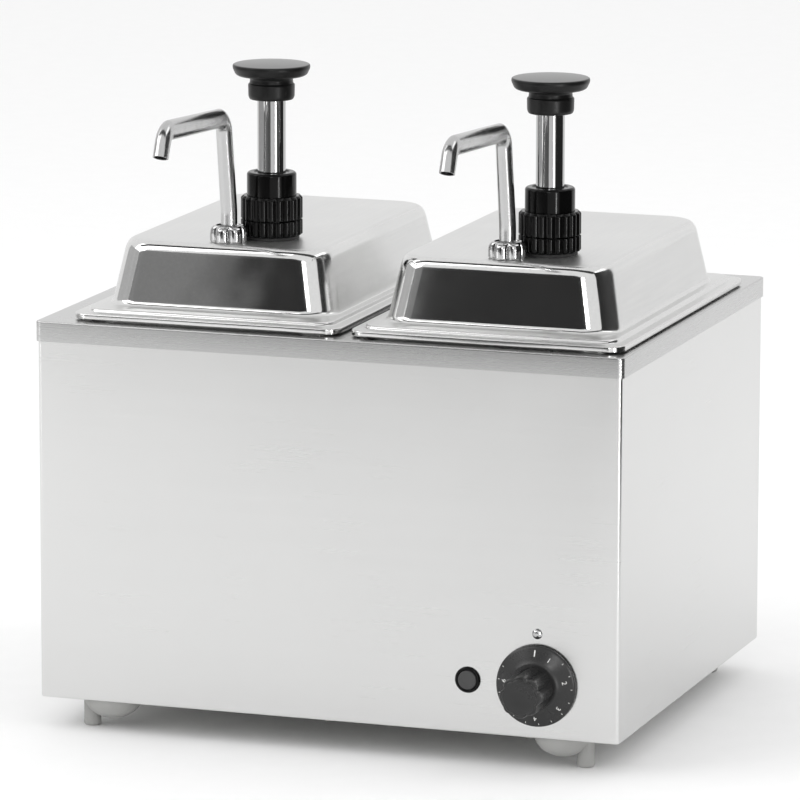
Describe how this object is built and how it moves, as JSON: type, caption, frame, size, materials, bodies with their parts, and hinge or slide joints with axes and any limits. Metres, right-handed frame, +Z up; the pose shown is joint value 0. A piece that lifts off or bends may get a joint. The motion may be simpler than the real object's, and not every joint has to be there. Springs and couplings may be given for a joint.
{
  "type": "heated condiment pump dispenser",
  "caption": "Counter warmer with twin wells; each holds a lift-out pan under a domed lid that carries a spring-return hand pump and a bent tube spout.",
  "frame": {"origin": "on the counter, under the middle of the whole outline, spouts included", "axes": "+X to the operator's right, +Y to the back, +Z up; the spouts and the dial face -Y"},
  "size_m": [0.453, 0.4504, 0.495],
  "materials": {
    "housing_steel": "fine satin",
    "deck_steel": "satin",
    "lid_steel": "bright satin dome with polished ends",
    "pan_steel": "bright drawn",
    "inner_steel": "mill finish",
    "tube_steel": "polished",
    "gloss_black": "moulded, glossy",
    "satin_black": "moulded, satin",
    "foot_grey": "moulded, matte",
    "dark_rubber": "matte",
    "white_plastic": "moulded, matte",
    "cream_ceramic": "moulded, matte",
    "insulation_mat": "needled mat",
    "heater_sheath": "oxidised sheath",
    "copper_tube": "drawn, dull",
    "zinc_screw": "zinc plated"
  },
  "bodies": {
    "housing": {"body_wrap": "housing_steel", "top_deck": "deck_steel", "bottom_cover": "inner_steel", "bottom_screws": "zinc_screw", "feet": "foot_grey", "foot_screws": "zinc_screw", "well_left": "inner_steel", "well_right": "inner_steel", "insulation_left": "insulation_mat", "insulation_right": "insulation_mat", "heater_left": "heater_sheath", "heater_right": "heater_sheath", "heater_clamps": "inner_steel", "thermostat_body": "cream_ceramic", "thermostat_nut": "zinc_screw", "thermostat_bulb": "copper_tube", "index_stud": "tube_steel", "switch_body": "gloss_black", "terminal_block": "cream_ceramic", "inlet_bush": "dark_rubber"},
    "temperature_dial": {"dial": "satin_black", "thermostat_shaft": "zinc_screw"},
    "switch_button": {"switch_cap": "satin_black"},
    "left_pan": {"pan_left": "pan_steel"},
    "left_lid": {"lid_left": "lid_steel", "gland_collar_left": "gloss_black", "lock_collar_left": "gloss_black", "mounting_nut_left": "gloss_black", "collar_gasket_left": "dark_rubber", "pump_cylinder_left": "tube_steel", "valve_body_left": "white_plastic", "spout_nut_left": "tube_steel", "spout_bush_left": "white_plastic", "return_spring_left": "tube_steel"},
    "left_plunger": {"knob_left": "satin_black", "plunger_tube_left": "tube_steel", "piston_left": "white_plastic", "piston_seal_left": "dark_rubber"},
    "left_spout": {"spout_left": "tube_steel"},
    "left_intake_valve": {"intake_ball_left": "tube_steel"},
    "left_outlet_valve": {"outlet_ball_left": "tube_steel"},
    "right_pan": {"pan_right": "pan_steel"},
    "right_lid": {"lid_right": "lid_steel", "gland_collar_right": "gloss_black", "lock_collar_right": "gloss_black", "mounting_nut_right": "gloss_black", "collar_gasket_right": "dark_rubber", "pump_cylinder_right": "tube_steel", "valve_body_right": "white_plastic", "spout_nut_right": "tube_steel", "spout_bush_right": "white_plastic", "return_spring_right": "tube_steel"},
    "right_plunger": {"knob_right": "satin_black", "plunger_tube_right": "tube_steel", "piston_right": "white_plastic", "piston_seal_right": "dark_rubber"},
    "right_spout": {"spout_right": "tube_steel"},
    "right_intake_valve": {"intake_ball_right": "tube_steel"},
    "right_outlet_valve": {"outlet_ball_right": "tube_steel"}
  },
  "joints": [
    {"name": "dial_turn", "type": "hinge", "parent": "housing", "child": "temperature_dial", "pos_m": [0.163, -0.15483, 0.0635], "axis": [0, 1, 0], "range_deg": [0, 280]},
    {"name": "switch_press", "type": "slide", "parent": "housing", "child": "switch_button", "axis": [0, 1, 0], "range_m": [0, 0.0022], "stiffness_N_per_m": 600, "springref_m": -0.001},
    {"name": "left_pan_lift", "type": "slide", "parent": "housing", "child": "left_pan", "axis": [0, 0, 1], "range_m": [0, 0.16]},
    {"name": "left_lid_lift", "type": "slide", "parent": "left_pan", "child": "left_lid", "axis": [0, 0, 1], "range_m": [0, 0.155]},
    {"name": "left_plunger_press", "type": "slide", "parent": "left_lid", "child": "left_plunger", "axis": [0, 0, -1], "range_m": [0, 0.048], "stiffness_N_per_m": 300, "springref_m": -0.03, "deforming": ["return_spring_left"]},
    {"name": "left_spout_swivel", "type": "hinge", "parent": "left_lid", "child": "left_spout", "pos_m": [-0.0985, -0.08143, 0.364], "axis": [0, 0, 1], "range_deg": [-30, 30]},
    {"name": "left_intake_lift", "type": "slide", "parent": "left_lid", "child": "left_intake_valve", "axis": [0, 0, 1], "range_m": [0, 0.003]},
    {"name": "left_outlet_lift", "type": "slide", "parent": "left_lid", "child": "left_outlet_valve", "axis": [0, 0, 1], "range_m": [0, 0.003]},
    {"name": "right_pan_lift", "type": "slide", "parent": "housing", "child": "right_pan", "axis": [0, 0, 1], "range_m": [0, 0.16]},
    {"name": "right_lid_lift", "type": "slide", "parent": "right_pan", "child": "right_lid", "axis": [0, 0, 1], "range_m": [0, 0.155]},
    {"name": "right_plunger_press", "type": "slide", "parent": "right_lid", "child": "right_plunger", "axis": [0, 0, -1], "range_m": [0, 0.048], "stiffness_N_per_m": 300, "springref_m": -0.03, "deforming": ["return_spring_right"]},
    {"name": "right_spout_swivel", "type": "hinge", "parent": "right_lid", "child": "right_spout", "pos_m": [0.1175, -0.08143, 0.364], "axis": [0, 0, 1], "range_deg": [-30, 30]},
    {"name": "right_intake_lift", "type": "slide", "parent": "right_lid", "child": "right_intake_valve", "axis": [0, 0, 1], "range_m": [0, 0.003]},
    {"name": "right_outlet_lift", "type": "slide", "parent": "right_lid", "child": "right_outlet_valve", "axis": [0, 0, 1], "range_m": [0, 0.003]}
  ]
}
